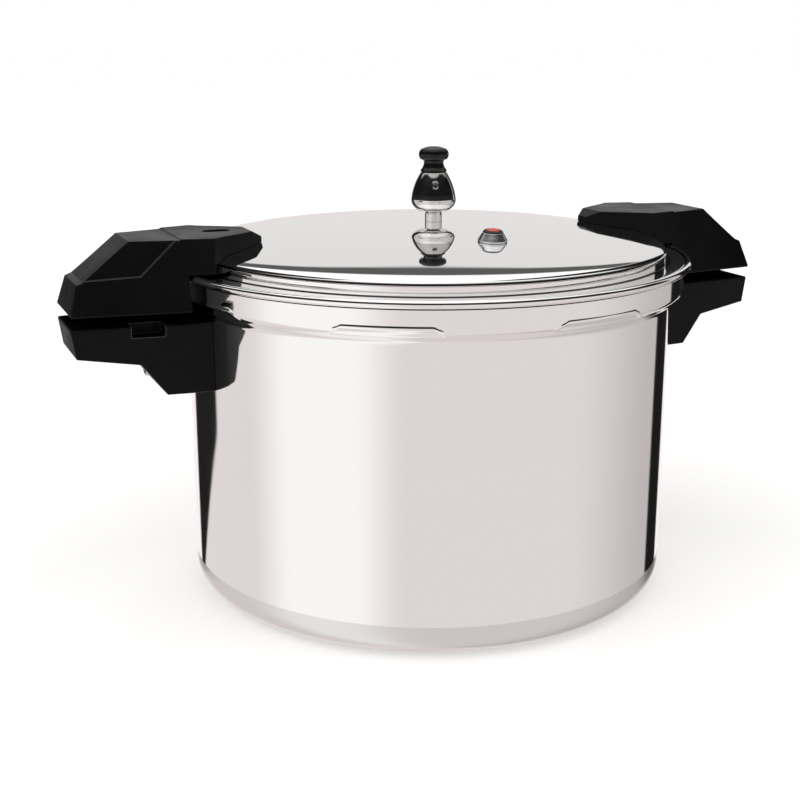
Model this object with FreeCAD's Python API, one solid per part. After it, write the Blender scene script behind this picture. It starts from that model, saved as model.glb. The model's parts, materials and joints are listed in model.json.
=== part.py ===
"""Pressure canner: a deep aluminium pot, a bayonet lid with two handles, and its safety fittings.

Millimetres, +Z up. The origin is the centre of the pot's base on the surface it stands on.
The handles lie along X. A handle is drawn once, pointing along +X, and turned half a turn for the left.
"""
import FreeCAD
import Part
import math
import os

os.makedirs("parts", exist_ok=True)

# ---- pot ----
WALL_R = 151.5              # outside radius of the straight wall
SHEET = 2.4                 # thickness of the pot's sheet
BASE_T = 3.2                # thickness of the pot's base
BASE_CORNER = 15.0          # outside radius between base and wall
SHOULDER_Z = 181.6          # where the wall starts to open into the collar
COLLAR_Z = 190.8            # foot of the collar
COLLAR_R = 159.2            # outside radius of the collar
LEDGE_Z = 204.6             # step inside the rim that the lid's flange sits over
BEAD_Z = 203.6              # underside of the rolled bead
BEAD_R = 163.4              # outside radius of the bead
GROOVE = 0.8                # groove that sets the bead off from the collar
RIM_Z = 208.2               # top of the bead
LIP_R = 160.0               # inside radius of the rim above the ledge

# ---- bayonet lugs ----
LUG_COUNT = 8
LUG_PHASE = 13.4            # angle of the first lug from +X, in degrees
LUG_SPAN = 22.5             # angle that one lug covers, in degrees
LUG_FOOT_Z = 190.6
LUG_T = 3.0
DENT_TOP_Z = 193.0          # top of the dent that presses a pot lug inwards
DENT_DEPTH = 1.1

# ---- lid ----
CROWN_Z = 227.6             # top of the dome at its centre
DOME_EDGE_R = 118.0         # the shallow dome ends here
DOME_EDGE_Z = 220.4
SHOULDER_R = 147.4          # outside of the lid's rounded edge
LID_WALL_R = 148.4
FLANGE_TOP_Z = 207.3
LID_SHEET = 2.2
FLANGE_R = 159.4
SKIRT_R = 152.8             # outside of the skirt that drops inside the collar
SKIRT_FOOT_Z = LUG_FOOT_Z
LID_LUG_R = 155.3

# ---- handles ----
HANDLE_END = 228.6          # outer end of the handles, from the pot's axis
LID_HANDLE_FOOT_Z = 187.7
LID_HANDLE_TOP_Z = 228.4
PAD_TOP_Z = 229.1           # raised pad on the inner part of the lid handle
NOSE_TIP = 110.5            # inner end of the lid handle, over the dome
POT_HANDLE_TOP_Z = 180.8
POT_HANDLE_FOOT_Z = 139.6
HANDLE_EDGE = 1.0           # rounding of the moulded edges
PANEL_DEPTH = 1.8           # depth of the sunken panel on one side of each lid handle
LID_HANDLE_FOOT_HALF = 25.4     # half width at the outer end, at the foot and at the top
LID_HANDLE_TOP_HALF = 10.3
BEDDING = 0.2               # gap between a handle and the metal it beds on

# ---- fittings on the lid ----
VENT_X = 3.5                # the vent pipe stands just off the lid's centre
PIPE_R = 5.4
STEM_R = 3.2
STEM_TOP_Z = 245.9
WEIGHT_FOOT_Z = 234.4
KNOB_Z = 258.5              # seam between the weight and its knob
KNOB_TOP_Z = 274.0
GAUGE_HOLE_Z = 251.0
FIRST_GAUGE_HOLE = -108.0   # angle of the first gauge hole from +X, in degrees
SAFETY_X, SAFETY_Y = 8.1, -74.3
SAFETY_Z = 224.71           # where the safety fitting sits on the dome
SAFETY_LEAN = 4.43          # lean of the fitting away from the axis, square to the dome, in degrees
LOCK_X = -137.0             # lock pin, in the left lid handle
LOCK_Z = 217.3              # dome height at the lock pin
LID_SCREW_X = 124.0
LID_SCREW_Y = 6.0
SCREW_R = 2.0

# ---- fixings of the pot handles ----
BRACKET_HALF = 14.0
BRACKET_T = 2.2
BRACKET_FOOT_Z, BRACKET_TOP_Z = 144.0, 176.0
POT_SCREW_Z = 150.5
POT_SCREW_R = 2.5
RIVET_Y, RIVET_Z = 9.0, 168.0
RIVET_R = 2.5

RACK_R = 140.0
RACK_T = 1.6
RACK_TOP_Z = 16.0

UP = FreeCAD.Vector(0, 0, 1)
OUT = FreeCAD.Vector(1, 0, 0)
ORIGIN = FreeCAD.Vector(0, 0, 0)


def at(x, y, z):
    return FreeCAD.Vector(x, y, z)


def outline(start, *steps):
    """A closed wire in the XZ plane.

    A step is (x, z), or (via, end) for an arc through via, or (pull, pull, end) for a cubic curve.
    """
    here = at(start[0], 0, start[1])
    first = here
    edges = []
    for step in steps:
        points = [at(p[0], 0, p[1]) for p in step] if isinstance(step[0], tuple) else [at(step[0], 0, step[1])]
        end = points[-1]
        if len(points) == 3:
            curve = Part.BezierCurve()
            curve.setPoles([here] + points)
            edges.append(curve.toShape())
        elif len(points) == 2:
            edges.append(Part.Arc(here, points[0], end).toShape())
        else:
            edges.append(Part.makeLine(here, end))
        here = end
    if here.distanceToPoint(first) > 1e-6:
        edges.append(Part.makeLine(here, first))
    return Part.Wire(edges)


def dome_z(radius, edge_radius, edge_z, top_z):
    """Height at radius of a sphere cap that peaks on the axis and passes through its edge."""
    rise = top_z - edge_z
    sphere = (rise ** 2 + edge_radius ** 2) / (2 * rise)
    return top_z - sphere + math.sqrt(sphere ** 2 - radius ** 2)


def rising_dome(edge_radius, edge_z, top_z):
    """Outline step from a dome's edge up to its top on the axis."""
    half = edge_radius / 2
    return (half, dome_z(half, edge_radius, edge_z, top_z)), (0, top_z)


def turned(start, *steps):
    return Part.Face(outline(start, *steps)).revolve(ORIGIN, UP, 360)


def slab(half_width, start, *steps):
    """The XZ outline, thickened by half_width to each side of the XZ plane."""
    face = Part.Face(outline(start, *steps))
    face.translate(at(0, -half_width, 0))
    return face.extrude(at(0, 2 * half_width, 0))


def column(corners, low, high):
    """A prism over the XY corners."""
    points = [at(x, y, low) for x, y in corners]
    return Part.Face(Part.makePolygon(points + points[:1])).extrude(at(0, 0, high - low))


def drum(radius, low, high, x=0.0, y=0.0):
    return Part.makeCylinder(radius, high - low, at(x, y, low), UP)


def peg(radius, start, end, y, z):
    """A round bar along X."""
    return Part.makeCylinder(radius, end - start, at(start, y, z), OUT)


def sector(inner, outer, low, high, centre, span):
    """Part of a ring: span degrees wide, centred on the direction centre."""
    face = Part.Face(outline((inner, low), (outer, low), (outer, high), (inner, high)))
    face.rotate(ORIGIN, UP, centre - span / 2)
    return face.revolve(ORIGIN, UP, span)


def hexagon(across, low, high, x, y):
    corner = across / math.sqrt(3)
    angles = [math.radians(60 * k) for k in range(6)]
    return column([(x + corner * math.cos(a), y + corner * math.sin(a)) for a in angles], low, high)


def half_turn(shape):
    copy = shape.copy()
    copy.rotate(ORIGIN, UP, 180)
    return copy


def lug_angles():
    return [LUG_PHASE + k * 360.0 / LUG_COUNT for k in range(LUG_COUNT)]


def save(name, shape):
    shape.exportStep(f"parts/{name}.step")


# ---- pot ----

def pot_body():
    """Drawn shell with a rounded base corner, an open collar and a rolled bead."""
    inside = WALL_R - SHEET
    collar_in = COLLAR_R - SHEET
    corner = BASE_CORNER * (1 - math.sqrt(0.5))
    inner_corner = BASE_CORNER - SHEET
    inner_via = inner_corner * (1 - math.sqrt(0.5))
    shell = turned(
        (0, 0), (WALL_R - BASE_CORNER, 0),
        ((WALL_R - corner, corner), (WALL_R, BASE_CORNER)),
        (WALL_R, SHOULDER_Z),
        ((WALL_R + 1.6, SHOULDER_Z + 4.2), (WALL_R + 5.4, COLLAR_Z - 2.6)),
        ((COLLAR_R - 0.6, COLLAR_Z - 1.2), (COLLAR_R, COLLAR_Z + 0.6)),
        (COLLAR_R, BEAD_Z - GROOVE), (COLLAR_R - GROOVE, BEAD_Z - GROOVE), (COLLAR_R - GROOVE, BEAD_Z),
        (BEAD_R - 2.3, BEAD_Z),
        ((BEAD_R, BEAD_Z + 2.3), (BEAD_R - 2.3, RIM_Z)),
        (LIP_R + 0.5, RIM_Z), (LIP_R, RIM_Z - 0.5),
        (LIP_R, LEDGE_Z), (collar_in, LEDGE_Z), (collar_in, COLLAR_Z + 1.2),
        ((collar_in - 1.1, COLLAR_Z - 1.0), (collar_in - 3.0, COLLAR_Z - 2.0)),
        ((inside + 1.4, SHOULDER_Z + 4.0), (inside, SHOULDER_Z + 0.6)),
        (inside, BASE_T + inner_corner),
        ((inside - inner_via, BASE_T + inner_via), (inside - inner_corner, BASE_T)),
        (0, BASE_T),
    )
    for angle in lug_angles():
        pressed = sector(COLLAR_R - SHEET - DENT_DEPTH, COLLAR_R - 1.0, LUG_FOOT_Z + 0.4, LEDGE_Z - 8.0,
                         angle, LUG_SPAN)
        dent = sector(COLLAR_R - DENT_DEPTH, COLLAR_R + 1.0, COLLAR_Z - 2.2, DENT_TOP_Z, angle, LUG_SPAN)
        shell = shell.fuse(pressed).cut(dent)
    for side in (-1, 1):
        for y in (-RIVET_Y, RIVET_Y):
            start = min(side * (WALL_R - 12), side * (WALL_R + 12))
            shell = shell.cut(peg(RIVET_R + 0.05, start, start + 24, y, RIVET_Z))
    return shell.removeSplitter()


def pot_handle():
    """Moulded side handle, with a notch in one upper edge and a pocket for its bracket."""
    slope_foot = 176.2
    slope_top = 190.3
    block = slab(
        30, (140, POT_HANDLE_FOOT_Z), (slope_foot, POT_HANDLE_FOOT_Z), (slope_top, 158.2),
        (HANDLE_END - 2.6, 163.6), (HANDLE_END, POT_HANDLE_TOP_Z), (140, POT_HANDLE_TOP_Z),
    )
    plan = column([(140, -32.4), (HANDLE_END + 1, -22.8), (HANDLE_END + 1, 22.8), (140, 32.4)], 120, 200)
    block = block.common(plan)
    block = block.makeFillet(HANDLE_EDGE, [e for e in block.Edges if e.BoundBox.XMax > 150])
    notch = column([(176, 15), (195, 15), (195, 40), (176, 40)], POT_HANDLE_TOP_Z - 6.4, 190)
    bed = drum(WALL_R + BEDDING, 100, 200)
    pocket = sector(100, WALL_R + BRACKET_T + 2.5, BRACKET_FOOT_Z - 1, BRACKET_TOP_Z + 1, 0, 14)
    bore = peg(POT_SCREW_R + 0.1, 150, 200, 0, POT_SCREW_Z)
    boss_room = peg(5.8, 150, 165, 0, POT_SCREW_Z)
    head_seat = peg(5.6, 180.5, 200, 0, POT_SCREW_Z)
    return block.cut(notch).cut(bed).cut(pocket).cut(bore).cut(boss_room).cut(head_seat)


def pot_bracket():
    """Steel strap riveted to the wall, with a threaded boss for the handle's screw."""
    span = math.degrees(2 * BRACKET_HALF / WALL_R)
    strap = sector(WALL_R + 0.05, WALL_R + BRACKET_T, BRACKET_FOOT_Z, BRACKET_TOP_Z, 0, span)
    strap = strap.fuse(peg(5.4, WALL_R + BRACKET_T - 1, WALL_R + 12, 0, POT_SCREW_Z))
    strap = strap.cut(peg(POT_SCREW_R, WALL_R + 3, WALL_R + 20, 0, POT_SCREW_Z))
    for y in (-RIVET_Y, RIVET_Y):
        strap = strap.cut(peg(RIVET_R + 0.05, WALL_R - 6, WALL_R + 10, y, RIVET_Z))
    return strap.removeSplitter()


def pot_rivet(y):
    """Rivet from inside the pot, its head on the wall and its tail set on the strap."""
    inner_face = math.sqrt((WALL_R - SHEET) ** 2 - (abs(y) + 4.6) ** 2)
    shank = peg(RIVET_R, inner_face - 1.0, WALL_R + BRACKET_T + 0.6, y, RIVET_Z)
    head = peg(4.4, inner_face - 2.0, inner_face - 0.1, y, RIVET_Z)
    tail = peg(4.0, WALL_R + BRACKET_T + 0.05, WALL_R + BRACKET_T + 1.4, y, RIVET_Z)
    return head.fuse(shank).fuse(tail).removeSplitter()


def pot_screw():
    """Round-headed screw with a cross slot."""
    head = peg(5.2, 180.6, 183.4, 0, POT_SCREW_Z)
    head = head.makeFillet(1.2, [e for e in head.Edges if e.BoundBox.XMin > 183])
    shank = peg(POT_SCREW_R, WALL_R + 4, 181, 0, POT_SCREW_Z)
    screw = head.fuse(shank)
    for size_y, size_z in ((6.0, 1.2), (1.2, 6.0)):
        slot = Part.makeBox(3, size_y, size_z, at(181.9, -size_y / 2, POT_SCREW_Z - size_z / 2))
        screw = screw.cut(slot)
    return screw.removeSplitter()


def canning_rack():
    """Pierced plate on three feet that keeps jars off the base."""
    foot_z = BASE_T + 0.3
    rack = drum(RACK_R, RACK_TOP_Z - RACK_T, RACK_TOP_Z)
    rack = rack.cut(drum(12, 0, 40))
    for radius, count in ((45, 6), (82, 12), (117, 18)):
        for k in range(count):
            angle = 2 * math.pi * k / count
            rack = rack.cut(drum(9, 0, 40, radius * math.cos(angle), radius * math.sin(angle)))
    for k in range(3):
        rack = rack.fuse(sector(124, 127, foot_z, RACK_TOP_Z - RACK_T / 2, 60 + 120 * k, 16))
    return rack.removeSplitter()


# ---- lid ----

def lid_shell():
    """Shallow dome with a rounded edge, a short wall, a flange and a skirt with lugs."""
    inner_wall = LID_WALL_R - LID_SHEET
    flange_foot = FLANGE_TOP_Z - LID_SHEET
    skirt_in = SKIRT_R - LID_SHEET
    middle = DOME_EDGE_R / 2
    dome_middle = dome_z(middle, DOME_EDGE_R, DOME_EDGE_Z, CROWN_Z)
    shell = turned(
        (0, CROWN_Z), ((middle, dome_middle), (DOME_EDGE_R, DOME_EDGE_Z)),
        ((138.0, 217.96), (SHOULDER_R - 2.1, 216.6), (SHOULDER_R, 213.9)),
        (SHOULDER_R - 0.5, 213.5), (LID_WALL_R - 0.2, 213.2),
        (LID_WALL_R, 212.6), (LID_WALL_R, FLANGE_TOP_Z + 1.2),
        ((LID_WALL_R + 0.4, FLANGE_TOP_Z + 0.4), (LID_WALL_R + 1.4, FLANGE_TOP_Z)),
        (FLANGE_R - 0.8, FLANGE_TOP_Z),
        ((FLANGE_R - 0.25, FLANGE_TOP_Z - 0.25), (FLANGE_R, FLANGE_TOP_Z - 0.8)),
        (FLANGE_R, flange_foot), (SKIRT_R, flange_foot), (SKIRT_R, SKIRT_FOOT_Z),
        (skirt_in, SKIRT_FOOT_Z), (skirt_in, flange_foot), (inner_wall, flange_foot),
        (inner_wall, 211.0),
        ((inner_wall - 3.0, 214.4), (135.0, 216.1), (DOME_EDGE_R, DOME_EDGE_Z - LID_SHEET)),
        ((middle, dome_middle - LID_SHEET), (0, CROWN_Z - LID_SHEET)),
    )
    for angle in lug_angles():
        lug = sector(SKIRT_R - 1.0, LID_LUG_R, LUG_FOOT_Z, LUG_FOOT_Z + LUG_T, angle, LUG_SPAN - 1)
        shell = shell.fuse(lug)
    shell = shell.cut(drum(5.0, 200, 240, VENT_X))
    shell = shell.cut(on_safety(drum(5.6, -20, 20)))
    shell = shell.cut(drum(4.4, 200, 240, LOCK_X))
    for side in (-1, 1):
        for y in (-LID_SCREW_Y, LID_SCREW_Y):
            shell = shell.cut(drum(SCREW_R + 0.1, 200, 240, side * LID_SCREW_X, y))
    return shell.removeSplitter()


def gasket():
    """Square-section sealing ring between the skirt and the collar, with a lip groove."""
    inner, outer = SKIRT_R + 0.3, COLLAR_R - SHEET - 0.3
    low, high = LEDGE_Z - 7.0, FLANGE_TOP_Z - LID_SHEET - 0.3
    middle = (low + high) / 2
    return turned(
        (inner, low), (outer, low), (outer, middle - 1),
        ((outer - 1, middle), (outer, middle + 1)),
        (outer, high), (inner, high),
    )


def lid_relief():
    """The space that the lid, its flange and the pot's bead take under a lid handle."""
    middle = DOME_EDGE_R / 2
    dome_middle = dome_z(middle, DOME_EDGE_R, DOME_EDGE_Z, CROWN_Z) + BEDDING
    return turned(
        (0, CROWN_Z + BEDDING), ((middle, dome_middle), (DOME_EDGE_R, DOME_EDGE_Z + BEDDING)),
        ((138.1, 217.96 + BEDDING), (SHOULDER_R - 1.8, 216.6 + BEDDING), (SHOULDER_R + BEDDING, 213.9)),
        (LID_WALL_R + BEDDING, 213.2), (LID_WALL_R + BEDDING, RIM_Z + 0.6),
        (BEAD_R + 1.0, RIM_Z + 0.6), (BEAD_R + 1.0, 100), (0, 100),
    )


def lid_handle_flanks(inset):
    """The solid between the lid handle's two slanted sides, each moved in by inset."""
    sections = []
    for x in (100.0, 240.0):
        foot_half = LID_HANDLE_FOOT_HALF + 0.121 * (HANDLE_END - x) - inset
        top_half = LID_HANDLE_TOP_HALF + 0.254 * (HANDLE_END - x) - inset
        low, high = LID_HANDLE_FOOT_Z, PAD_TOP_Z
        over = (top_half - foot_half) / (high - low)
        foot_half, top_half = foot_half - over, top_half + over
        corners = ((-foot_half, low - 1), (foot_half, low - 1), (top_half, high + 1), (-top_half, high + 1))
        points = [at(x, y, z) for y, z in corners]
        sections.append(Part.makePolygon(points + points[:1]))
    return Part.makeLoft(sections, True, True)


def lid_handle():
    """Moulded lid handle: sloping outer end, sunken panel on one side, nose over the dome."""
    slope_top = 192.6
    slope_foot = 219.4
    pad_start = 165.0
    block = slab(
        45, (NOSE_TIP, LID_HANDLE_FOOT_Z), (HANDLE_END - 0.3, LID_HANDLE_FOOT_Z),
        (223.4, 205.3), (slope_foot, 206.8), (slope_top, LID_HANDLE_TOP_Z),
        (pad_start, LID_HANDLE_TOP_Z), (pad_start - 1, PAD_TOP_Z),
        (NOSE_TIP + 7.5, PAD_TOP_Z), (NOSE_TIP, 225.0),
    )
    sides = [(HANDLE_END + 1, 40), (155, 40), (141, 27), (129, 19.5), (117, 11), (NOSE_TIP - 1, 4)]
    corners = [(x, -y) for x, y in sides] + [(x, y) for x, y in reversed(sides)]
    block = block.common(column(corners, 150, 240)).common(lid_handle_flanks(0)).Solids[0]
    block = block.makeFillet(HANDLE_EDGE, block.Edges)
    panel = slab(60, (163.5, 232), (187.8, 209.0), (slope_foot + 3.4, 207.2), (240, 207.2), (240, 232))
    near_half = Part.makeBox(200, 60, 100, at(80, 0, 150))
    block = block.cut(panel.common(near_half).cut(lid_handle_flanks(PANEL_DEPTH))).cut(lid_relief())
    for y in (-LID_SCREW_Y, LID_SCREW_Y):
        block = block.cut(drum(SCREW_R, 200, 226, LID_SCREW_X, y))
    return block


def lid_screw(y):
    """Pan-head screw from inside the lid into the nose of a handle."""
    under_dome = DOME_EDGE_Z - LID_SHEET - 2.2
    head = drum(4.0, under_dome - 2.2, under_dome, LID_SCREW_X, y)
    shank = drum(SCREW_R, under_dome - 1, 225.5, LID_SCREW_X, y)
    slot = Part.makeBox(9, 0.9, 1.0, at(LID_SCREW_X - 4.5, y - 0.45, under_dome - 2.3))
    return head.fuse(shank).cut(slot).removeSplitter()


def left_handle_openings():
    """The oblong window in the left handle's top, and the room for the lock pin under it."""
    window = Part.makeBox(8, 9, 10, at(LOCK_X - 4, -4.5, PAD_TOP_Z - 3.4))
    for x in (LOCK_X - 4, LOCK_X + 4):
        window = window.fuse(drum(4.5, PAD_TOP_Z - 3.4, PAD_TOP_Z + 6.6, x))
    return window.fuse(drum(3.1, 200, 235, LOCK_X)).fuse(drum(6.4, 200, LOCK_Z + 3.8, LOCK_X))


def lock_pin():
    """Pin that the steam lifts, with an oblong cap seen in the handle's window."""
    cap_low, cap_high = PAD_TOP_Z - 3.1, PAD_TOP_Z - 1.0
    cap = Part.makeBox(6, 5, cap_high - cap_low, at(LOCK_X - 3, -2.5, cap_low))
    for x in (LOCK_X - 3, LOCK_X + 3):
        cap = cap.fuse(drum(2.5, cap_low, cap_high, x))
    stem = drum(2.4, LOCK_Z - 9, cap_low + 1, LOCK_X)
    foot = drum(3.6, LOCK_Z - 10.5, LOCK_Z - 8.5, LOCK_X)
    return cap.fuse(stem).fuse(foot).removeSplitter()


def lock_seal(lid):
    """Rubber grommet round the lock pin, gripping the lid's sheet."""
    ring = drum(6.0, LOCK_Z - 6.2, LOCK_Z + 3.4, LOCK_X)
    return ring.cut(drum(2.5, 200, 240, LOCK_X)).cut(lid)


# ---- fittings in the middle of the lid ----

def vent_pipe():
    """Steam pipe: threaded foot, plain barrel on the dome, and the stem that the weight sits on."""
    pipe = turned(
        (0, CROWN_Z - 8), (4.9, CROWN_Z - 8), (4.9, CROWN_Z + 0.05), (PIPE_R, CROWN_Z + 0.05),
        (PIPE_R, WEIGHT_FOOT_Z - 1.6), (PIPE_R - 1.2, WEIGHT_FOOT_Z - 0.4),
        (STEM_R, WEIGHT_FOOT_Z - 0.2), (STEM_R, STEM_TOP_Z - 1.8), (STEM_R - 1.2, STEM_TOP_Z),
        (0, STEM_TOP_Z),
    )
    pipe = pipe.cut(drum(1.3, 200, 260))
    pipe.translate(at(VENT_X, 0, 0))
    return pipe


def vent_nut():
    top = CROWN_Z - LID_SHEET - 0.15
    return hexagon(15, top - 4.5, top, VENT_X, 0).cut(drum(4.9, 200, 240, VENT_X))


def weight_body():
    """Pear-shaped pressure weight, bored from below, with three blind gauge holes."""
    bore = STEM_R + 0.7
    body = turned(
        (0, STEM_TOP_Z + 0.7), (bore - 2.3, STEM_TOP_Z + 0.7), (bore, STEM_TOP_Z - 1.5), (bore, WEIGHT_FOOT_Z),
        (9.0, WEIGHT_FOOT_Z), ((12.9, 237.2), (14.2, 241.6)),
        ((12.3, 249.6), (8.3, KNOB_Z - 0.7)), (7.6, KNOB_Z), (0, KNOB_Z),
    )
    for k in range(3):
        hole = Part.makeCylinder(1.6, 6, at(8.5, 0, GAUGE_HOLE_Z), OUT)
        hole.rotate(ORIGIN, UP, FIRST_GAUGE_HOLE + 120 * k)
        body = body.cut(hole)
    body = body.cut(drum(1.8, KNOB_Z - 8, KNOB_Z + 1))
    body.translate(at(VENT_X, 0, 0))
    return body


def weight_knob():
    """Flattened moulded knob on a flared neck, hollow round its stud."""
    low = KNOB_Z + 0.05
    knob = turned(
        (1.85, low), (8.3, low), ((6.9, KNOB_Z + 2.6), (6.1, KNOB_Z + 5.4)),
        ((6.7, KNOB_Z + 6.8), (8.3, KNOB_Z + 7.6)), ((9.4, KNOB_Z + 10.4), (8.0, KNOB_Z + 13.8)),
        rising_dome(8.0, KNOB_Z + 13.8, KNOB_TOP_Z), (0, KNOB_Z + 11.5), (1.85, KNOB_Z + 11.5),
    )
    knob.translate(at(VENT_X, 0, 0))
    return knob


def weight_stud():
    return drum(1.8, KNOB_Z - 7.8, KNOB_Z + 11.4, VENT_X)


def on_safety(shape):
    """Stands a shape drawn at the origin square on the dome at the safety fitting."""
    shape.rotate(ORIGIN, at(-SAFETY_Y, SAFETY_X, 0), SAFETY_LEAN)
    shape.translate(at(SAFETY_X, SAFETY_Y, SAFETY_Z))
    return shape


def safety_housing():
    """Conical collar on the dome with a threaded stem through it."""
    return on_safety(turned(
        (2.6, -7.5), (5.5, -7.5), (5.5, 0.1), (8.7, 0.1), (8.7, 1.2), (6.2, 5.3), (2.6, 5.3),
    ))


def safety_seal():
    return on_safety(turned(
        (2.8, 5.4), (6.0, 5.4), ((5.5, 6.2), (4.4, 6.8)), (4.1, 6.4), (4.1, 5.9), (2.8, 5.9),
    ))


def safety_pin():
    """Red over-pressure pin: domed head inside the black ring, stem through the housing."""
    head_r, head_low, head_edge, head_top = 3.9, 6.2, 6.6, 7.7
    return on_safety(turned(
        (0, -8.6), (2.5, -8.6), (2.5, head_low), (head_r, head_low), (head_r, head_edge),
        rising_dome(head_r, head_edge, head_top),
    ))


def safety_nut():
    top = -LID_SHEET - 0.2
    return on_safety(hexagon(16, top - 4.2, top, 0, 0).cut(drum(5.5, -20, 20)))


def main():
    save("pot_body", pot_body())
    save("canning_rack", canning_rack())
    handle = pot_handle()
    save("pot_handle_right", handle)
    save("pot_handle_left", half_turn(handle))
    bracket = pot_bracket()
    save("pot_bracket_right", bracket)
    save("pot_bracket_left", half_turn(bracket))
    rivets = [pot_rivet(y) for y in (-RIVET_Y, RIVET_Y)]
    save("pot_rivets", Part.makeCompound(rivets + [half_turn(r) for r in rivets]))
    screw = pot_screw()
    save("pot_handle_screws", Part.makeCompound([screw, half_turn(screw)]))
    lid = lid_shell()
    save("lid_shell", lid)
    save("gasket", gasket())
    handle = lid_handle()
    save("lid_handle_right", handle)
    save("lid_handle_left", half_turn(handle).cut(left_handle_openings()))
    screws = [lid_screw(y) for y in (-LID_SCREW_Y, LID_SCREW_Y)]
    save("lid_handle_screws", Part.makeCompound(screws + [half_turn(s) for s in screws]))
    save("lock_pin", lock_pin())
    save("lock_seal", lock_seal(lid))
    save("vent_pipe", vent_pipe())
    save("vent_nut", vent_nut())
    save("weight_body", weight_body())
    save("weight_knob", weight_knob())
    save("weight_stud", weight_stud())
    save("safety_housing", safety_housing())
    save("safety_seal", safety_seal())
    save("safety_pin", safety_pin())
    save("safety_nut", safety_nut())


main()
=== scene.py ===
import math

import bpy
from mathutils import Matrix, Vector
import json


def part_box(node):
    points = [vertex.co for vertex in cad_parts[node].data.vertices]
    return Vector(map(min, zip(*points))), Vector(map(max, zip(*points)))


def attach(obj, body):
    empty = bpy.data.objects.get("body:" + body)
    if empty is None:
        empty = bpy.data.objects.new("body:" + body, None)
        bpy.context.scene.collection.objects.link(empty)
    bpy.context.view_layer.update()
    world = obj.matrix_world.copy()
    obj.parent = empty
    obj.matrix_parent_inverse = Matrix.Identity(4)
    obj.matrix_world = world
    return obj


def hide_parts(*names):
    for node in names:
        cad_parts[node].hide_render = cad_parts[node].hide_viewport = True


# The pressure canner's looks, built round its CAD frame: +Z up, handles along X, origin under the
# middle of the pot. Sizes are in millimetres, and meshes and shaders get them in metres.
MM = 0.001
AROUND = 512                    # steps round a turned piece
FOOT, TOP = 0, 1                # the ends of a node's box

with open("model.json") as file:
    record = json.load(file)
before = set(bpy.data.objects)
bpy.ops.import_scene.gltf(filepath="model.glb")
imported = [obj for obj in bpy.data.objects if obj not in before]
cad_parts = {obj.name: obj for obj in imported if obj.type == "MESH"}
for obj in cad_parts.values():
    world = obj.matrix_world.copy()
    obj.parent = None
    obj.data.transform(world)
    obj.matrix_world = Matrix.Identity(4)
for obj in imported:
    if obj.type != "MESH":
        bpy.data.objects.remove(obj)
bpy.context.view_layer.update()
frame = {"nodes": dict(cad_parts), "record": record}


def level(node, end):
    """Height of a CAD node's foot or top, to a hundredth of a millimetre."""
    return round(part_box(node)[end].z / MM, 2)


# Pot
WALL_R = 151.5
SHEET = 2.4
BASE_T = 3.2
BASE_CORNER = 15.0
TURNED_BAND_TOP = 20.0          # the duller band at the foot of the wall
SHOULDER_Z = 181.6
COLLAR_Z = 190.8
COLLAR_R = 159.2
BEAD_Z = 203.6
BEAD_R = 163.4
GROOVE = 0.8                    # the shadow line under the bead
LEDGE_Z = 204.6                 # inside the bead, just under the lid's flange
LIP_R = 160.0
RIM_Z = level("pot_body", TOP)

# Lugs pressed into the collar. Each dent widens towards its foot.
LUG_COUNT = 8
LUG_PHASE = 13.4                # degrees from +X to the middle of the first lug
LUG_SPAN = 22.5                 # degrees
DENT_LOW = 186.8
DENT_TOP = 192.4
DENT_DEPTH = 1.1
DENT_TOP_HALF = 28.0            # half the dent's length, along the collar
DENT_LOW_HALF = 34.5
DENT_CORNER = 4.0
DENT_SWELL = 0.3                # how far the metal stands out round the dent

# Lid
CROWN_Z = level("lid_shell", TOP)
DOME_EDGE_R = 118.0
DOME_EDGE_Z = 220.4
LID_SHEET = 2.2
LID_WALL_R = 148.4
FLANGE_TOP = 207.3
FLANGE_R = round(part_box("lid_shell")[TOP].x / MM, 2)
SKIRT_R = 152.8
SKIRT_FOOT = level("lid_shell", FOOT)
LID_LUG_R = 155.3
LUG_T = 3.0

# Vent pipe and weight, on one upright
UPRIGHT = Matrix.Translation((3.5, 0, 0))
PIPE_R = 5.4
STEM_R = 3.2
STEM_TOP = level("vent_pipe", TOP)
WEIGHT_FOOT = level("weight_body", FOOT)
KNOB_Z = level("weight_body", TOP)
KNOB_TOP = level("weight_knob", TOP)
GAUGE_HOLES = 3
GAUGE_HOLE_Z = 251.0
FIRST_GAUGE_HOLE = -108.0       # degrees from +X

# Safety fitting, square to the dome
SAFETY_X = 8.1
SAFETY_Y = -74.3
SAFETY_Z = 224.71
SAFETY_LEAN = 4.43              # degrees

# Grooves darkened with painted shade: inner and outer radius, low and high edge, and how dark the groove is.
CREVICES = (
    (145.8, 149.0, 213.3, 214.4, 0.98),
    (148.2, 150.6, 207.1, 207.8, 0.98),
    (158.9, 160.5, 206.0, 208.4, 0.30),
    (158.0, 160.9, 202.5, 203.8, 0.92),
)

# Camera, in metres
CAMERA_AT = Vector((-0.3406, -0.7708, 0.3407))
CAMERA_AIM = Vector((0.3713, 0.8905, -0.2629))
LENS = 60.34


# ---- shader helpers ----

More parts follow.
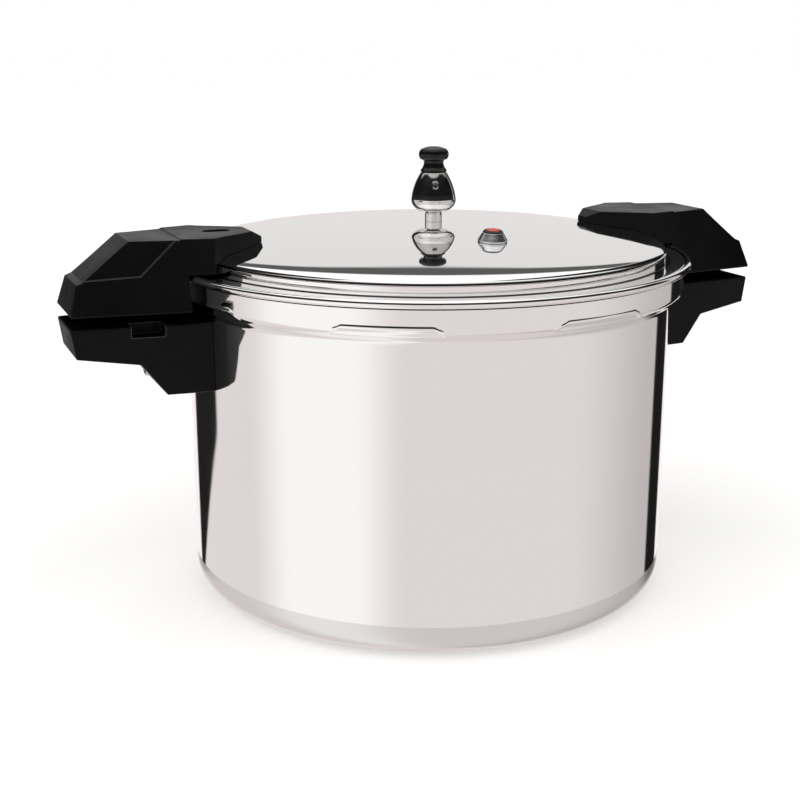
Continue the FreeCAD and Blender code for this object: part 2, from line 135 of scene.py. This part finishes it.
class Nodes:
    """Adds nodes to a tree and links them in one call each."""

    def __init__(self, tree):
        self.tree = tree
        tree.nodes.clear()

    def add(self, kind, inputs=None, **settings):
        node = self.tree.nodes.new(kind)
        for key, value in settings.items():
            setattr(node, key, value)
        for key, value in (inputs or {}).items():
            if isinstance(value, bpy.types.NodeSocket):
                self.tree.links.new(value, node.inputs[key])
            else:
                node.inputs[key].default_value = value
        return node

    def math(self, operation, *values):
        node = self.add("ShaderNodeMath", dict(enumerate(values)), operation=operation)
        return node.outputs[0]

    def vector_math(self, operation, first, second=(0, 0, 0)):
        """The node's outputs: 0 is its vector, 1 its number."""
        return self.add("ShaderNodeVectorMath", {0: first, 1: second}, operation=operation).outputs

    def product(self, value, *others):
        for other in others:
            value = self.math("MULTIPLY", value, other)
        return value

    def total(self, value, *others):
        for other in others:
            value = self.math("ADD", value, other)
        return value

    def largest(self, value, *others):
        for other in others:
            value = self.math("MAXIMUM", value, other)
        return value

    def mix(self, share, first, second):
        node = self.add("ShaderNodeMix", {0: share, 6: first, 7: second}, data_type="RGBA")
        return node.outputs[2]

    def fade(self, value, low, high, start=0.0, end=1.0):
        """Smooth step of value from low to high, between start and end."""
        node = self.add("ShaderNodeMapRange", {0: value, 1: low, 2: high, 3: start, 4: end},
                        interpolation_type="SMOOTHSTEP")
        return node.outputs[0]

    def fall(self, value, low, high):
        """1 below low, 0 above high."""
        return self.fade(value, low, high, 1.0, 0.0)

    def window(self, value, low, high, soft):
        """1 inside low..high, 0 outside, with soft edges."""
        rise = self.fade(value, low - soft, low + soft)
        return self.product(rise, self.fall(value, high - soft, high + soft))

    def noise(self, vector, scale, detail=3.0):
        return self.add("ShaderNodeTexNoise", {"Vector": vector, "Scale": scale, "Detail": detail}).outputs[0]

    def place(self, x=1, y=1, z=1):
        """Object coordinates in metres, scaled by x, y, z."""
        return self.vector_math("MULTIPLY", self.add("ShaderNodeTexCoord").outputs["Object"], (x, y, z))[0]

    def height(self):
        return self.add("ShaderNodeSeparateXYZ", {0: self.place()}).outputs[2]

    def radius(self):
        """Distance from the pot's middle line."""
        return self.vector_math("LENGTH", self.place(1, 1, 0))[1]


def surface(name, build):
    """A material whose build(nodes) returns the inputs of its Principled shader."""
    material = bpy.data.materials.new(name)
    material.use_nodes = True
    nodes = Nodes(material.node_tree)
    shader = nodes.add("ShaderNodeBsdfPrincipled", build(nodes))
    nodes.add("ShaderNodeOutputMaterial", {0: shader.outputs[0]})
    return material


def bump(nodes, height, strength, distance):
    inputs = {"Height": height, "Strength": strength, "Distance": distance}
    return nodes.add("ShaderNodeBump", inputs).outputs[0]


def grained(nodes, grain, colour, roughness, relief, **others):
    """Inputs of a finish whose roughness, between two values, and relief both follow one grain.
    relief is the bump's strength and its height in metres."""
    rough = nodes.fade(grain, 0.3, 0.7, *roughness)
    return {"Base Color": colour, "Roughness": rough, "Normal": bump(nodes, grain, *relief), **others}


# ---- finishes ----

def painted_crevice_shade(nodes, radius, height):
    """Painted shade: 1 deep in the thin grooves round the lid and the rim, 0 elsewhere."""
    painted_shade = 0.0
    for inner, outer, low, high, depth in CREVICES:
        ring = nodes.window(radius, inner * MM, outer * MM, 0.2 * MM)
        line = nodes.window(height, low * MM, high * MM, 0.12 * MM)
        painted_shade = nodes.largest(painted_shade, nodes.product(ring, line, depth))
    return painted_shade


def polished_aluminium(nodes):
    """Mirror polish with faint turning lines, painted shade in the crevices, and a duller turned band at the
    foot.
    """
    height = nodes.height()
    lines = nodes.noise(nodes.place(6, 6, 900), 1.0)
    broad = nodes.noise(nodes.place(3, 3, 40), 1.0, 2.0)
    smudge = nodes.noise(nodes.place(25, 25, 25), 1.0, 4.0)
    band = nodes.fall(height, (TURNED_BAND_TOP - 0.3) * MM, (TURNED_BAND_TOP + 0.3) * MM)
    polish = nodes.fade(nodes.total(broad, nodes.product(smudge, 0.4)), 0.4, 1.0, 0.04, 0.08)
    polish = nodes.product(polish, nodes.fade(height, 0.204, 0.212, 1.0, 0.5))      # finer on the lid
    relief = nodes.product(lines, nodes.total(0.10, nodes.product(band, 0.9)))
    colour = nodes.mix(band, (0.90, 0.89, 0.888, 1), (0.76, 0.755, 0.75, 1))
    # painted shade: the thin grooves round the lid and the rim are coloured near black
    colour = nodes.mix(painted_crevice_shade(nodes, nodes.radius(), height), colour, (0.04, 0.037, 0.035, 1))
    return {"Base Color": colour, "Metallic": 1.0,
            "Roughness": nodes.total(polish, nodes.product(band, 0.22)),
            "Normal": bump(nodes, relief, 0.25, 0.0004)}


def plain_aluminium(nodes):
    grain = nodes.noise(nodes.place(), 700.0, 4.0)
    return grained(nodes, grain, (0.70, 0.70, 0.71, 1), (0.28, 0.42), (0.2, 0.0003), Metallic=1.0)


def bright_chrome(nodes):
    smudge = nodes.noise(nodes.place(), 260.0)
    return grained(nodes, smudge, (0.66, 0.65, 0.64, 1), (0.05, 0.10), (0.05, 0.0002), Metallic=1.0)


def weight_chrome(nodes):
    """Chrome whose upper cone is painted darker than its foot: a painted dark reflection."""
    smudge = nodes.noise(nodes.place(), 200.0)
    # painted reflection: the upper cone's colour is darkened to stand for the dark room it mirrors
    cone_painted_dark = nodes.fade(nodes.height(), 0.243, 0.2455)
    colour = nodes.mix(cone_painted_dark, (0.70, 0.69, 0.68, 1), (0.34, 0.33, 0.325, 1))
    return grained(nodes, smudge, colour, (0.05, 0.10), (0.05, 0.0002), Metallic=1.0)


def plain_steel(nodes):
    grain = nodes.noise(nodes.place(30, 30, 600), 1.0)
    return grained(nodes, grain, (0.62, 0.62, 0.63, 1), (0.2, 0.34), (0.15, 0.0003), Metallic=1.0)


def black_plastic(nodes):
    """Moulded phenolic: satin, finely grained, lighter along its outer edges with wear and a painted
    highlight, and without gloss on the pot handles' tops, which lie close under the lid's handles."""
    grain = nodes.noise(nodes.place(), 1500.0)
    slow = nodes.noise(nodes.place(), 30.0)
    softened = nodes.add("ShaderNodeBevel", {"Radius": 0.0008}, samples=6).outputs[0]
    flat = nodes.add("ShaderNodeNewGeometry").outputs["Normal"]
    same = nodes.vector_math("DOT_PRODUCT", softened, flat)[1]
    # wear and a painted highlight: convex edges outboard of the pot's wall are coloured lighter
    worn_and_painted_highlight = nodes.product(nodes.fade(same, 0.99, 0.90), nodes.fade(slow, 0.2, 0.7, 0.5, 1.0),
                         nodes.fade(nodes.radius(), 0.165, 0.170))
    colour = nodes.mix(slow, (0.0022, 0.0021, 0.002, 1), (0.0042, 0.0038, 0.0036, 1))
    colour = nodes.mix(worn_and_painted_highlight, colour, (0.11, 0.10, 0.095, 1))
    upward = nodes.add("ShaderNodeSeparateXYZ", {0: flat}).outputs[2]
    bare = nodes.product(nodes.window(nodes.height(), 0.170, 0.184, 0.001), nodes.fade(upward, 0.7, 0.9))
    return {"Base Color": colour, "Roughness": nodes.fade(slow, 0.3, 0.7, 0.34, 0.46), "IOR": 1.5,
            "Specular IOR Level": nodes.fade(bare, 0, 1, 0.11, 0.0),
            "Normal": bump(nodes, grain, 0.22, 0.0003)}


def gloss_black(nodes):
    slow = nodes.noise(nodes.place(), 220.0)
    gloss = {"IOR": 1.5, "Specular IOR Level": 0.3}
    return grained(nodes, slow, (0.006, 0.0055, 0.005, 1), (0.12, 0.22), (0.08, 0.0003), **gloss)


def black_rubber(nodes):
    grain = nodes.noise(nodes.place(), 900.0)
    return grained(nodes, grain, (0.025, 0.025, 0.025, 1), (0.5, 0.7), (0.3, 0.0004))


def red_plastic(nodes):
    slow = nodes.noise(nodes.place(), 400.0)
    return grained(nodes, slow, (0.62, 0.07, 0.025, 1), (0.25, 0.38), (0.15, 0.0003))


FINISHES = {build.__name__: surface(build.__name__, build) for build in (
    polished_aluminium, plain_aluminium, bright_chrome, weight_chrome, plain_steel, black_plastic,
    gloss_black, black_rubber, red_plastic)}
# The finish of a material slot whose name isn't the finish's own.
SLOT_FINISH = {"steel": "plain_steel", "bright_metal": "bright_chrome"}


# ---- outlines, in millimetres ----

def arc(start, via, end, steps=10):
    """Points after start along the circle through start, via and end."""
    (ax, az), (bx, bz), (cx, cz) = start, via, end
    d = 2 * (ax * (bz - cz) + bx * (cz - az) + cx * (az - bz))
    a2, b2, c2 = ax * ax + az * az, bx * bx + bz * bz, cx * cx + cz * cz
    ux = (a2 * (bz - cz) + b2 * (cz - az) + c2 * (az - bz)) / d
    uz = (a2 * (cx - bx) + b2 * (ax - cx) + c2 * (bx - ax)) / d
    radius = math.hypot(ax - ux, az - uz)
    first = math.atan2(az - uz, ax - ux)
    middle = math.atan2(bz - uz, bx - ux)
    last = math.atan2(cz - uz, cx - ux)
    turn = (last - first) % math.tau
    if (middle - first) % math.tau > turn:
        turn -= math.tau
    angles = [first + turn * k / steps for k in range(1, steps + 1)]
    return [(ux + radius * math.cos(a), uz + radius * math.sin(a)) for a in angles]


def bezier(start, first, second, end, steps=28):
    """Points after start along a cubic curve."""
    points = []
    for k in range(1, steps + 1):
        t = k / steps
        weights = ((1 - t) ** 3, 3 * t * (1 - t) ** 2, 3 * t * t * (1 - t), t ** 3)
        pulls = list(zip(weights, (start, first, second, end)))
        points.append((sum(w * p[0] for w, p in pulls), sum(w * p[1] for w, p in pulls)))
    return points


def outline(start, *steps):
    """Points of a profile. A step is (r, z), or (via, end) for an arc through via."""
    points = [start]
    for step in steps:
        if isinstance(step[0], tuple):
            points += arc(points[-1], step[0], step[1])
        else:
            points.append(step)
    return points


def rounded_corner(before, here, after, radius):
    """Points of a small arc in place of a sharp corner. A long straight run beside it gets one more
    point, which keeps its shading flat."""
    blunt = math.radians(24)
    long_run, extra_point = 1.2, 0.25
    corner = Vector(here)
    u, v = Vector(before) - corner, Vector(after) - corner
    bend = math.pi - u.angle(v)
    if bend < blunt:
        return [here]
    cut = min(radius * math.tan(bend / 2), 0.45 * u.length, 0.45 * v.length)
    a, b = corner + u.normalized() * cut, corner + v.normalized() * cut
    points = []
    for k in range(5):
        t = k / 4
        points.append(a * (1 - t) ** 2 + corner * 2 * t * (1 - t) + b * t * t)
    if u.length > 2 * cut + long_run:
        points.insert(0, corner + u.normalized() * (cut + extra_point))
    if v.length > 2 * cut + long_run:
        points.append(corner + v.normalized() * (cut + extra_point))
    return [(p.x, p.y) for p in points]


def rounded(points, radius, closed):
    """The same outline with its sharp corners rounded. An open outline keeps its two ends."""
    result = []
    count = len(points)
    for k, here in enumerate(points):
        if closed or 0 < k < count - 1:
            result += rounded_corner(points[k - 1], here, points[(k + 1) % count], radius)
        else:
            result.append(here)
    return result


def smooth_step(value, low, high):
    t = min(max((value - low) / (high - low), 0.0), 1.0)
    return t * t * (3 - 2 * t)


# ---- pieces ----

def mesh_piece(name, vertices, faces, finish, body, replaced=()):
    mesh = bpy.data.meshes.new(name)
    mesh.from_pydata([(x * MM, y * MM, z * MM) for x, y, z in vertices], [], faces)
    mesh.validate()
    mesh.shade_smooth()
    mesh.materials.append(FINISHES[finish])
    piece = bpy.data.objects.new(name, mesh)
    bpy.context.collection.objects.link(piece)
    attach(piece, body)
    if replaced:
        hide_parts(*replaced)
    return piece


def faces_between(rows, closed):
    """Faces that join each ring of vertices to the next, with triangles where a ring is one point."""
    pairs = list(zip(rows, rows[1:]))
    if closed:
        pairs.append((rows[-1], rows[0]))
    faces = []
    for low, high in pairs:
        for k in range(len(low)):
            j = (k + 1) % len(low)
            face = [low[k], low[j], high[j], high[k]]
            face = [v for n, v in enumerate(face) if v not in face[:n]]
            if len(face) > 2:
                faces.append(face)
    return faces


def turned(name, profile, finish, body, replaced, place=Matrix(), shift=None, angles=None,
           closed=False, soften=0.35):
    """A piece turned about Z, then put in place. shift(r, z, angle) moves points in or out, and
    soften is the radius of the profile's corners."""
    angles = angles or [math.tau * k / AROUND for k in range(AROUND)]
    vertices, rows = [], []
    for r, z in rounded(profile, soften, closed):
        if r < 1e-6:
            rows.append([len(vertices)] * len(angles))
            vertices.append(place @ Vector((0, 0, z)))
            continue
        rows.append(range(len(vertices), len(vertices) + len(angles)))
        for a in angles:
            reach = r + (shift(r, z, a) if shift else 0)
            vertices.append(place @ Vector((reach * math.cos(a), reach * math.sin(a), z)))
    return mesh_piece(name, vertices, faces_between(rows, closed), finish, body, replaced)


# ---- pot ----

def lug_angles():
    """Even steps round the pot, with closer ones across both ends of each lug."""
    angles = {round(360 * k / AROUND, 3) for k in range(AROUND)}
    nearest, furthest, steps = DENT_TOP_HALF - 6, DENT_LOW_HALF + 2, 26
    for k in range(LUG_COUNT):
        middle = LUG_PHASE + 360 / LUG_COUNT * k
        for n in range(steps + 1):
            turn = math.degrees((nearest + (furthest - nearest) * n / steps) / COLLAR_R)
            angles |= {round((middle - turn) % 360, 3), round((middle + turn) % 360, 3)}
    return [math.radians(a) for a in sorted(angles)]


def pot_shift(r, z, angle):
    """Presses the lugs into the collar, with a slight swelling round each dent."""
    if r < COLLAR_R - SHEET - 4 or not DENT_LOW - 2 < z < DENT_TOP + 4:
        return 0.0
    pitch = 360 / LUG_COUNT
    away = abs((math.degrees(angle) - LUG_PHASE + pitch / 2) % pitch - pitch / 2)
    down = min(max((DENT_TOP - z) / (DENT_TOP - DENT_LOW), 0.0), 1.0)
    from_end = DENT_TOP_HALF + (DENT_LOW_HALF - DENT_TOP_HALF) * down - math.radians(away) * COLLAR_R
    from_top = DENT_TOP - z
    if from_end < DENT_CORNER and from_top < DENT_CORNER:
        deep = DENT_CORNER - math.hypot(DENT_CORNER - from_end, DENT_CORNER - from_top)
    else:
        deep = min(from_end, from_top)
    swelling = DENT_SWELL * math.exp(-(deep / 1.25) ** 2)
    up = smooth_step(z, DENT_LOW, DENT_LOW + 2.6)
    return up * (swelling - DENT_DEPTH * smooth_step(deep, 0.2, 2.6))


def make_pot():
    inside = WALL_R - SHEET
    collar_in = COLLAR_R - SHEET
    inner_corner = BASE_CORNER - SHEET
    halfway = 1 - math.sqrt(0.5)                # middle of a quarter arc, as a share of its radius
    dip, inner_dip = BASE_CORNER * halfway, inner_corner * halfway
    shoulder = bezier((WALL_R, SHOULDER_Z), (WALL_R + 0.3, SHOULDER_Z + 4.6),
                      (COLLAR_R, COLLAR_Z - 3.6), (COLLAR_R, COLLAR_Z + 0.6))
    dent_rows = [(COLLAR_R, COLLAR_Z + 0.6 + 0.3 * k) for k in range(1, 18)]
    profile = outline(
        # base and wall, outside
        (0, 0), (60, 0), (WALL_R - BASE_CORNER, 0), ((WALL_R - dip, dip), (WALL_R, BASE_CORNER)),
        (WALL_R, BASE_CORNER + 0.6), (WALL_R, 60), (WALL_R, 110), (WALL_R, SHOULDER_Z - 0.4),
        (WALL_R, SHOULDER_Z),
        # shoulder and collar
        *shoulder, *dent_rows, (COLLAR_R, 200.0), (COLLAR_R, BEAD_Z - GROOVE),
        (COLLAR_R - GROOVE, BEAD_Z - GROOVE), (COLLAR_R - GROOVE, BEAD_Z),
        # rolled bead, lip and ledge
        (BEAD_R - 2.3, BEAD_Z), ((BEAD_R, BEAD_Z + 2.3), (BEAD_R - 2.3, RIM_Z)),
        (LIP_R + 0.5, RIM_Z), (LIP_R, RIM_Z - 0.5), (LIP_R, LEDGE_Z), (collar_in, LEDGE_Z),
        # collar and shoulder, inside
        (collar_in, 196.6), (collar_in, 192.4), (collar_in, COLLAR_Z + 1.2),
        ((collar_in - 1.1, COLLAR_Z - 1.0), (collar_in - 3.0, COLLAR_Z - 2.0)),
        ((inside + 1.4, SHOULDER_Z + 4.0), (inside, SHOULDER_Z + 0.6)),
        # wall and base, inside
        (inside, 110), (inside, 60), (inside, BASE_T + inner_corner),
        ((inside - inner_dip, BASE_T + inner_dip), (inside - inner_corner, BASE_T)),
        (60, BASE_T), (0, BASE_T),
    )
    turned("pot_shell", profile, "polished_aluminium", "pot", ["pot_body"],
           shift=pot_shift, angles=lug_angles(), soften=0.25)


# ---- lid ----

def dome_z(radius, drop=0.0):
    rise = CROWN_Z - DOME_EDGE_Z
    sphere = (rise ** 2 + DOME_EDGE_R ** 2) / (2 * rise)
    return CROWN_Z - drop - sphere + math.sqrt(sphere ** 2 - radius ** 2)


def make_lid():
    inner_wall = LID_WALL_R - LID_SHEET
    flange_foot = FLANGE_TOP - LID_SHEET
    skirt_in = SKIRT_R - LID_SHEET
    dome = [(r, dome_z(r)) for r in range(4, int(DOME_EDGE_R), 6)]
    edge = bezier((DOME_EDGE_R, DOME_EDGE_Z), (138.0, 217.96), (145.3, 216.6), (147.4, 213.9))
    ceiling = [(r, dome_z(r, LID_SHEET)) for r in range(112, 0, -8)]
    profile = outline(
        # dome, with a groove where its rounded edge meets the wall
        (0, CROWN_Z), *dome, (DOME_EDGE_R, DOME_EDGE_Z), *edge, (146.9, 213.5),
        (LID_WALL_R - 0.1, 213.2), (LID_WALL_R, 212.95), (LID_WALL_R, 212.7),
        # wall and flange
        (LID_WALL_R, FLANGE_TOP + 0.9), (LID_WALL_R, FLANGE_TOP + 0.6),
        ((LID_WALL_R + 0.18, FLANGE_TOP + 0.18), (LID_WALL_R + 0.6, FLANGE_TOP)),
        (LID_WALL_R + 0.9, FLANGE_TOP), (FLANGE_R - 1.1, FLANGE_TOP), (FLANGE_R - 0.8, FLANGE_TOP),
        ((FLANGE_R - 0.25, FLANGE_TOP - 0.25), (FLANGE_R, FLANGE_TOP - 0.8)),
        # skirt
        (FLANGE_R, flange_foot), (SKIRT_R, flange_foot), (SKIRT_R, SKIRT_FOOT + LUG_T),
        (SKIRT_R, SKIRT_FOOT), (skirt_in, SKIRT_FOOT), (skirt_in, flange_foot),
        # ceiling
        (inner_wall, flange_foot), (inner_wall, 211.0), ((140.5, 213.6), (128.0, 216.5)),
        (DOME_EDGE_R, DOME_EDGE_Z - LID_SHEET), *ceiling, (0, CROWN_Z - LID_SHEET),
    )
    turned("lid_pressing", profile, "polished_aluminium", "lid", ["lid_shell"])
    for k in range(LUG_COUNT):
        centre = math.radians(LUG_PHASE + 360 / LUG_COUNT * k)
        make_lid_lug(f"lid_lug_{k + 1}", centre, math.radians(LUG_SPAN - 1) / 2)


def make_lid_lug(name, centre, half):
    """One bayonet lug on the skirt: a short piece of a rounded rectangular ring."""
    low, high, inner = SKIRT_FOOT, SKIRT_FOOT + LUG_T, SKIRT_R - 0.6
    section = rounded([(inner, low), (LID_LUG_R, low), (LID_LUG_R, high), (inner, high)], 0.6, True)
    steps = 16
    vertices = []
    for k in range(steps + 1):
        angle = centre - half + 2 * half * k / steps
        vertices += [(r * math.cos(angle), r * math.sin(angle), z) for r, z in section]
    count = len(section)
    faces = [tuple(range(count))[::-1], tuple(range(steps * count, (steps + 1) * count))]
    for k in range(steps):
        for n in range(count):
            m = (n + 1) % count
            faces.append((k * count + n, k * count + m, (k + 1) * count + m, (k + 1) * count + n))
    piece = mesh_piece(name, vertices, faces, "polished_aluminium", "lid")
    piece.data.set_sharp_from_angle(angle=math.radians(40))


# ---- weight, vent pipe and safety fitting ----

def gauge_hole_shift(r, z, angle):
    """Sinks the gauge holes into the weight's outside, each with a thin raised ring round it."""
    if r < 8:
        return 0.0
    pitch = math.tau / GAUGE_HOLES
    away = (angle - math.radians(FIRST_GAUGE_HOLE) + pitch / 2) % pitch - pitch / 2
    distance = math.hypot(away * r, z - GAUGE_HOLE_Z)
    ring = 0.2 * math.exp(-((distance - 2.0) / 0.3) ** 2)
    return ring - 2.6 * (1 - smooth_step(distance, 1.25, 1.6))


def make_weight():
    """Pear-shaped body over the vent's stem, and its knob."""
    bore = STEM_R + 0.7
    belly = (14.2, 241.6)
    body = outline(
        (0, STEM_TOP + 0.7), (bore - 2.3, STEM_TOP + 0.7), (bore, STEM_TOP - 1.5), (bore, WEIGHT_FOOT),
        (9.0, WEIGHT_FOOT), ((12.9, 237.2), belly),
    )
    cone = arc(belly, (12.3, 249.6), (8.3, KNOB_Z - 0.7), 120)
    body += cone + [(7.6, KNOB_Z), (0, KNOB_Z)]
    turned("weight_pear", body, "weight_chrome", "weight", ["weight_body"], UPRIGHT,
           shift=gauge_hole_shift)
    low, z = KNOB_Z + 0.05, KNOB_Z
    knob = outline(
        (1.85, low), (8.3, low), (8.2, low + 0.9), ((6.9, z + 2.8), (6.1, z + 5.4)),
        ((6.7, z + 6.8), (8.3, z + 7.6)), ((9.4, z + 10.4), (8.0, z + 13.8)),
        ((5.0, KNOB_TOP - 0.6), (0, KNOB_TOP)),
    )
    turned("weight_grip", knob, "gloss_black", "weight", ["weight_knob"], UPRIGHT, soften=0.6)


def make_vent_pipe():
    """Hollow pipe through the lid: a barrel under the weight, and a stem inside it."""
    bore, thread = 1.3, 4.9
    pipe = outline(
        (bore, CROWN_Z - 8), (thread, CROWN_Z - 8), (thread, CROWN_Z + 0.05), (PIPE_R, CROWN_Z + 0.05),
        (PIPE_R, WEIGHT_FOOT - 1.6), (PIPE_R - 1.2, WEIGHT_FOOT - 0.4), (STEM_R, WEIGHT_FOOT - 0.2),
        (STEM_R, STEM_TOP - 1.8), (STEM_R - 1.2, STEM_TOP), (bore, STEM_TOP),
    )
    turned("vent_barrel", pipe, "bright_chrome", "lid", ["vent_pipe"], UPRIGHT, closed=True,
           soften=0.2)


def make_safety_fitting():
    """Housing, ring and button, square to the dome. Heights are from the dome's surface."""
    tilt = Matrix.Rotation(math.radians(SAFETY_LEAN), 4, Vector((-SAFETY_Y, SAFETY_X, 0)))
    place = Matrix.Translation((SAFETY_X, SAFETY_Y, SAFETY_Z)) @ tilt
    housing = [(2.6, -7.5), (5.5, -7.5), (5.5, 0.1), (8.7, 0.1), (8.7, 1.2), (6.2, 5.3), (2.6, 5.3)]
    turned("safety_cone", housing, "plain_steel", "lid", ["safety_housing"], place,
           closed=True)
    seal = outline((2.8, 5.4), (6.0, 5.4), ((5.5, 6.2), (4.4, 6.8)), (4.1, 6.4), (4.1, 5.9), (2.8, 5.9))
    turned("safety_ring", seal, "black_rubber", "lid", ["safety_seal"], place, closed=True)
    pin = outline((0, -8.6), (2.5, -8.6), (2.5, 6.2), (3.9, 6.2), (3.9, 6.6), ((2.1, 7.4), (0, 7.7)))
    turned("safety_button", pin, "red_plastic", "relief", ["safety_pin"], place)


def dress_cad_nodes():
    """The nodes that stay as they are take the finish of their slot."""
    for entry in frame["record"]["subparts"]:
        slot = entry["material_slot"]
        materials = frame["nodes"][entry["node"]].data.materials
        materials.clear()
        materials.append(FINISHES[SLOT_FINISH.get(slot, slot)])


# ---- studio ----

def floor_paper(nodes):
    """White paper. The camera sees it a little brighter, so it meets the backdrop without an edge."""
    fibre = nodes.noise(nodes.place(), 90.0)
    lift = nodes.product(nodes.add("ShaderNodeLightPath").outputs["Is Camera Ray"], 0.24)
    return {"Base Color": (0.88, 0.88, 0.88, 1), "Roughness": nodes.fade(fibre, 0.3, 0.7, 0.75, 0.85),
            "Specular IOR Level": 0.1, "Emission Color": (1, 1, 1, 1), "Emission Strength": lift}


def make_floor():
    mesh = bpy.data.meshes.new("floor")
    mesh.from_pydata([(-9, -9, 0), (9, -9, 0), (9, 9, 0), (-9, 9, 0)], [], [(0, 1, 2, 3)])
    floor = bpy.data.objects.new("floor", mesh)
    bpy.context.collection.objects.link(floor)
    floor.location.z = -0.0005
    floor.visible_glossy = False
    mesh.materials.append(surface("floor_paper", floor_paper))


def room_directions(nodes):
    """Where a ray goes, in degrees: to the left of straight ahead, and above the horizon."""
    direction = nodes.add("ShaderNodeTexCoord").outputs["Generated"]
    ahead = Vector((CAMERA_AIM.x, CAMERA_AIM.y, 0)).normalized()
    left = Vector((-ahead.y, ahead.x, 0))
    along_left = nodes.vector_math("DOT_PRODUCT", direction, left)[1]
    along_ahead = nodes.vector_math("DOT_PRODUCT", direction, ahead)[1]
    upward = nodes.vector_math("DOT_PRODUCT", direction, (0, 0, 1))[1]
    degrees = 180 / math.pi
    turn = nodes.product(nodes.math("ARCTAN2", along_left, along_ahead), degrees)
    return turn, nodes.product(nodes.math("ARCSINE", upward), degrees)


def room_light(nodes, turn, side, lift, soft_box):
    """Brightness of the walls: darker to the right, with two brighter slivers low down ahead, the
    soft box on the left and a bright ceiling."""
    right_fall = nodes.product(nodes.fade(turn, -115, -50), nodes.fall(turn, -42, -22))
    slivers = nodes.product(nodes.window(side, 8, 30, 3), nodes.fade(lift, 2, -4))
    ceiling = nodes.fade(lift, 32, 36)
    return nodes.total(0.80, nodes.product(soft_box, 0.24), nodes.product(right_fall, -0.25),
                       nodes.product(slivers, 0.2), nodes.product(ceiling, 0.45))


def room_flags(nodes, turn, lift):
    """Two black flags ahead, one on each side. The left one narrows downwards."""
    sink = nodes.largest(nodes.math("SUBTRACT", -16.5, lift), 0.0)
    slanted = nodes.total(turn, nodes.product(sink, 4.2))
    left_flag = nodes.product(nodes.fade(turn, 29, 31), nodes.fall(slanted, 59, 61.5),
                              nodes.fade(lift, -23.5, -22))
    right_flag = nodes.product(nodes.window(turn, -46.5, -27, 1.2), nodes.fade(lift, -30, -22))
    return nodes.product(nodes.largest(left_flag, right_flag), nodes.fall(lift, 62, 70))


def unlit_room(nodes, side, lift, rays):
    """The unlit part of the room, beside and behind the camera, which only the first reflection
    shows. It starts and ends higher towards the back."""
    reach = nodes.total(nodes.fade(side, 70, 90, 0.0, 16.0), nodes.fade(side, 95, 115, 0.0, 7.0))
    under = nodes.fall(nodes.math("SUBTRACT", lift, reach), 26, 30)
    over = nodes.fade(nodes.total(lift, nodes.fade(side, 70, 100, 6.0, 0.0)), 1, 5)
    first_reflection = nodes.math("LESS_THAN", rays["Ray Depth"], 2.5)
    return nodes.product(nodes.fade(side, 57, 61), over, under, rays["Is Glossy Ray"], first_reflection)


def make_world():
    """A white studio, described by direction: pink-white walls, a neutral soft box and ceiling, two
    black flags, a dark gap ahead above the horizon, and an unlit room behind."""
    world = bpy.data.worlds.new("studio")
    bpy.context.scene.world = world
    world.use_nodes = True
    nodes = Nodes(world.node_tree)
    rays = nodes.add("ShaderNodeLightPath").outputs
    turn, lift = room_directions(nodes)
    side = nodes.math("ABSOLUTE", turn)
    soft_box = nodes.window(turn, 100, 157, 14)
    gap = nodes.product(nodes.window(lift, 24.4, 32.4, 0.8), nodes.fall(side, 22, 30))
    dark = nodes.largest(nodes.product(gap, 0.86), nodes.product(room_flags(nodes, turn, lift), 0.98),
                         nodes.product(unlit_room(nodes, side, lift, rays), 0.97))
    brightness = nodes.product(room_light(nodes, turn, side, lift, soft_box),
                               nodes.math("SUBTRACT", 1.0, dark))
    neutral = nodes.largest(soft_box, nodes.fade(lift, -4, 6))
    tint = nodes.mix(neutral, (1.0, 0.925, 0.925, 1), (1.0, 0.99, 0.98, 1))
    room = nodes.add("ShaderNodeVectorMath", {0: tint, 3: brightness}, operation="SCALE").outputs[0]
    colour = nodes.mix(rays["Is Camera Ray"], room, (1.0, 1.0, 1.0, 1))
    light = nodes.add("ShaderNodeBackground", {0: colour, 1: 1.0})
    nodes.add("ShaderNodeOutputWorld", {0: light.outputs[0]})


def make_camera():
    data = bpy.data.cameras.new("camera")
    data.lens = LENS
    data.clip_start = 0.01
    data.clip_end = 50
    camera = bpy.data.objects.new("camera", data)
    bpy.context.collection.objects.link(camera)
    camera.location = CAMERA_AT
    camera.rotation_mode = "QUATERNION"
    camera.rotation_quaternion = CAMERA_AIM.to_track_quat("-Z", "Y")
    bpy.context.scene.camera = camera


make_pot()
make_lid()
make_weight()
make_vent_pipe()
make_safety_fitting()
dress_cad_nodes()
make_floor()
make_world()
make_camera()
bpy.context.scene.view_settings.view_transform = "Standard"
